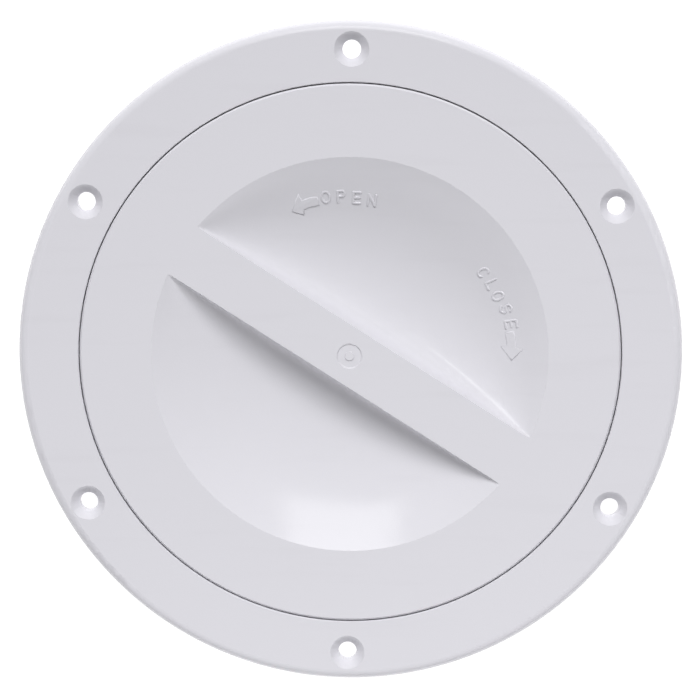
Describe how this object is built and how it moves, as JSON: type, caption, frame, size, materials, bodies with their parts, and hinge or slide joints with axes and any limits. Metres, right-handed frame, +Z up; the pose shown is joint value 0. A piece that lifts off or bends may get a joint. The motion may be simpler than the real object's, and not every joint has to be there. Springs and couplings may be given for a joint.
{
  "type": "access hatch",
  "caption": "Round screw-in deck inspection hatch: a flush dished lid with a grip bar threads into a flange with countersunk holes and closes on an O-ring.",
  "frame": {"origin": "centre of the flange's underside, on the deck plane", "axes": "+Z up out of the deck along the screw axis, +Y towards the screw hole that stands at the top of the picture"},
  "size_m": [0.18, 0.18, 0.0205],
  "materials": {
    "white_plastic": "satin moulded",
    "seal_rubber": "matt"
  },
  "bodies": {
    "frame": {"frame_ring": "white_plastic"},
    "seal": {"seal_ring": "seal_rubber"},
    "lid": {"lid": "white_plastic"}
  },
  "joints": [
    {"name": "lid_rise", "type": "slide", "parent": "frame", "child": "seal", "axis": [0, 0, 1], "range_m": [0, 0.00925]},
    {"name": "lid_turn", "type": "hinge", "parent": "seal", "child": "lid", "pos_m": [0, 0, 0], "axis": [0, 0, 1], "range_deg": [0, 370]}
  ],
  "couplings": [
    {"joint": "lid_rise", "follows": "lid_turn", "m_per_rad": 0.0014324}
  ]
}
